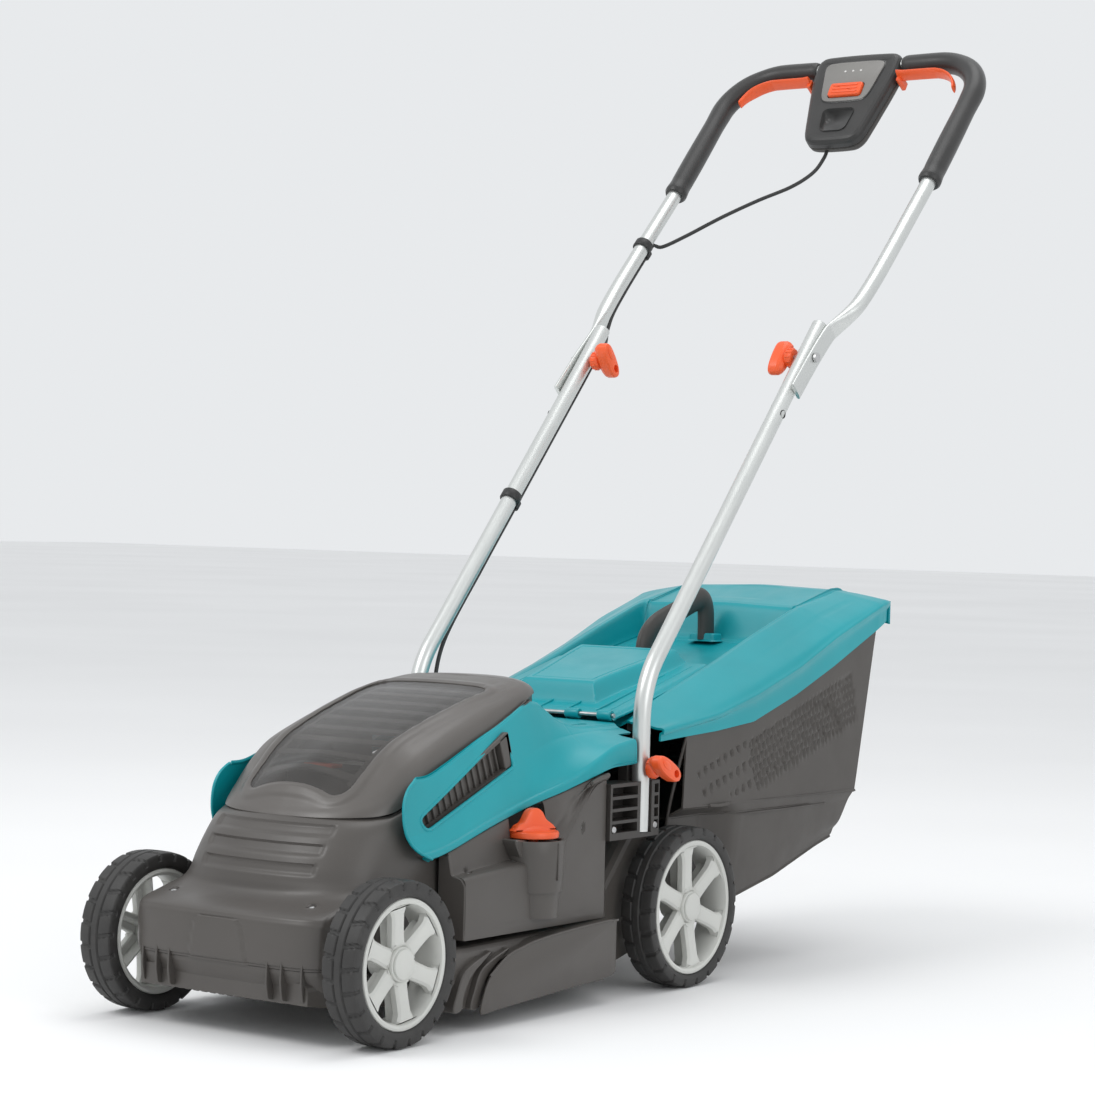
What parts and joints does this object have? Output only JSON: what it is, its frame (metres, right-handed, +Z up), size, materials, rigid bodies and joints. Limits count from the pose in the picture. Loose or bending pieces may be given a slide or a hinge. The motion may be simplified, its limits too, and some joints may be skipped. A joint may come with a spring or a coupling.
{
  "type": "cordless rotary lawn mower",
  "caption": "Walk-behind battery mower: wedge-shaped deck, sloping hood with a lid, cowl, rear grass box and a folding tubular handle with grips and a switch console.",
  "frame": {"origin": "on the ground, below the middle of the bounding box", "axes": "-Y points to the mower's nose, +Y to the person who pushes it, +X to its left side, +Z up"},
  "size_m": [0.4146, 1.3021, 1.1813],
  "materials": {
    "dark_plastic": "moulded, finely grained",
    "black_plastic": "moulded",
    "teal_plastic": "moulded, satin",
    "orange_plastic": "moulded, satin gloss",
    "tyre": "moulded, ribbed",
    "rim_plastic": "moulded, light grey",
    "aluminium": "satin anodised",
    "steel": "ground",
    "grip": "soft matt",
    "window": "smoky, glossy",
    "panel": "satin"
  },
  "bodies": {
    "mower": {"deck_housing": "dark_plastic", "motor_cover": "dark_plastic", "cowl": "teal_plastic", "side_cover_left": "dark_plastic", "side_cover_right": "dark_plastic", "side_comb_left": "dark_plastic", "side_comb_right": "dark_plastic", "vent_grille_left": "dark_plastic", "vent_grille_right": "dark_plastic", "handle_bracket_left": "dark_plastic", "handle_bracket_right": "dark_plastic", "motor": "black_plastic", "battery_tray": "dark_plastic", "lower_tube_left": "aluminium", "lower_tube_right": "aluminium", "lower_bolt_left": "steel", "lower_bolt_right": "steel", "upper_bolt_left": "steel", "upper_bolt_right": "steel", "switch_cable_lower": "black_plastic", "cable_clip_lower": "black_plastic"},
    "lid": {"battery_lid": "dark_plastic", "lid_window": "window"},
    "battery": {"battery_pack": "black_plastic"},
    "key": {"safety_key": "orange_plastic"},
    "height_adjuster": {"height_knob": "orange_plastic"},
    "front_axle_set": {"front_axle": "steel"},
    "rear_axle_set": {"rear_axle": "steel"},
    "cutter": {"blade": "steel", "blade_carrier": "black_plastic", "motor_shaft": "steel", "blade_bolt": "steel"},
    "flap": {"rear_flap": "teal_plastic"},
    "grass_box": {"grass_box_tub": "dark_plastic", "grass_box_lid": "teal_plastic", "grass_box_handle": "dark_plastic"},
    "handle": {"upper_handle": "aluminium", "grip_left": "grip", "grip_right": "grip", "console_front": "grip", "console_back": "grip", "console_panel": "panel", "switch_cable_upper": "black_plastic", "cable_clip_upper": "black_plastic"},
    "button": {"safety_button": "orange_plastic"},
    "front_left_wheel": {"front_left_rim": "rim_plastic", "front_left_tyre": "tyre"},
    "front_right_wheel": {"front_right_rim": "rim_plastic", "front_right_tyre": "tyre"},
    "rear_left_wheel": {"rear_left_rim": "rim_plastic", "rear_left_tyre": "tyre"},
    "rear_right_wheel": {"rear_right_rim": "rim_plastic", "rear_right_tyre": "tyre"},
    "lever_left": {"start_lever_left": "orange_plastic"},
    "lower_left_knob": {"lower_knob_left": "orange_plastic"},
    "upper_left_knob": {"upper_knob_left": "orange_plastic"},
    "lever_right": {"start_lever_right": "orange_plastic"},
    "lower_right_knob": {"lower_knob_right": "orange_plastic"},
    "upper_right_knob": {"upper_knob_right": "orange_plastic"}
  },
  "joints": [
    {"name": "lid_hinge", "type": "hinge", "parent": "mower", "child": "lid", "pos_m": [0, -0.5475, 0.2195], "axis": [1, 0, 0], "range_deg": [0, 78]},
    {"name": "battery_slide", "type": "slide", "parent": "mower", "child": "battery", "axis": [0, 0, 1], "range_m": [0, 0.022]},
    {"name": "key_slide", "type": "slide", "parent": "mower", "child": "key", "axis": [0, 0, 1], "range_m": [0, 0.012]},
    {"name": "height_turn", "type": "hinge", "parent": "mower", "child": "height_adjuster", "pos_m": [0.149, -0.303, 0.1892], "axis": [0, 0, 1], "range_deg": [-60.2, 180.2]},
    {"name": "front_axle_lift", "type": "slide", "parent": "mower", "child": "front_axle_set", "axis": [0, 0, -1], "range_m": [-0.01, 0.03]},
    {"name": "rear_axle_lift", "type": "slide", "parent": "mower", "child": "rear_axle_set", "axis": [0, 0, -1], "range_m": [-0.0101, 0.0301]},
    {"name": "blade_spin", "type": "hinge", "parent": "mower", "child": "cutter", "pos_m": [0, -0.313, 0.05], "axis": [0, 0, 1], "continuous": true},
    {"name": "flap_hinge", "type": "hinge", "parent": "mower", "child": "flap", "pos_m": [0, -0.0975, 0.3095], "axis": [1, 0, 0], "range_deg": [0, 70], "stiffness_Nm_per_rad": 0.25, "springref_deg": -34.38},
    {"name": "grass_box_pull", "type": "slide", "parent": "mower", "child": "grass_box", "axis": [0, 1, 0], "range_m": [0, 0.25]},
    {"name": "handle_fold", "type": "hinge", "parent": "mower", "child": "handle", "pos_m": [0, 0.222, 0.73567], "axis": [1, 0, 0], "range_deg": [0, 145]},
    {"name": "button_press", "type": "slide", "parent": "handle", "child": "button", "axis": [0, 0.8387, -0.5446], "range_m": [0, 0.004], "stiffness_N_per_m": 400, "springref_m": -0.002},
    {"name": "front_left_roll", "type": "hinge", "parent": "front_axle_set", "child": "front_left_wheel", "pos_m": [0.164, -0.563, 0.0845], "axis": [1, 0, 0], "continuous": true},
    {"name": "front_right_roll", "type": "hinge", "parent": "front_axle_set", "child": "front_right_wheel", "pos_m": [-0.164, -0.563, 0.0845], "axis": [1, 0, 0], "continuous": true},
    {"name": "rear_left_roll", "type": "hinge", "parent": "rear_axle_set", "child": "rear_left_wheel", "pos_m": [0.164, -0.031, 0.092], "axis": [1, 0, 0], "continuous": true},
    {"name": "rear_right_roll", "type": "hinge", "parent": "rear_axle_set", "child": "rear_right_wheel", "pos_m": [-0.164, -0.031, 0.092], "axis": [1, 0, 0], "continuous": true},
    {"name": "lever_left_pull", "type": "hinge", "parent": "handle", "child": "lever_left", "pos_m": [0, 0.62287, 1.12548], "axis": [-1, 0, 0], "range_deg": [0, 18], "stiffness_Nm_per_rad": 0.4, "springref_deg": -8.59},
    {"name": "lower_left_knob_turn", "type": "hinge", "parent": "mower", "child": "lower_left_knob", "pos_m": [0.189, -0.115, 0.256], "axis": [1, 0, 0], "range_deg": [0, 540]},
    {"name": "upper_left_knob_turn", "type": "hinge", "parent": "mower", "child": "upper_left_knob", "pos_m": [0.134, 0.222, 0.73567], "axis": [1, 0, 0], "range_deg": [0, 540]},
    {"name": "lever_right_pull", "type": "hinge", "parent": "handle", "child": "lever_right", "pos_m": [0, 0.62287, 1.12548], "axis": [-1, 0, 0], "range_deg": [0, 18], "stiffness_Nm_per_rad": 0.4, "springref_deg": -8.59},
    {"name": "lower_right_knob_turn", "type": "hinge", "parent": "mower", "child": "lower_right_knob", "pos_m": [-0.189, -0.115, 0.256], "axis": [1, 0, 0], "range_deg": [0, 540]},
    {"name": "upper_right_knob_turn", "type": "hinge", "parent": "mower", "child": "upper_right_knob", "pos_m": [-0.134, 0.222, 0.73567], "axis": [1, 0, 0], "range_deg": [0, 540]}
  ],
  "couplings": [
    {"joint": "height_turn", "follows": "front_axle_lift", "rad_per_m": 104.72},
    {"joint": "rear_axle_lift", "follows": "front_axle_lift", "ratio": 1}
  ]
}
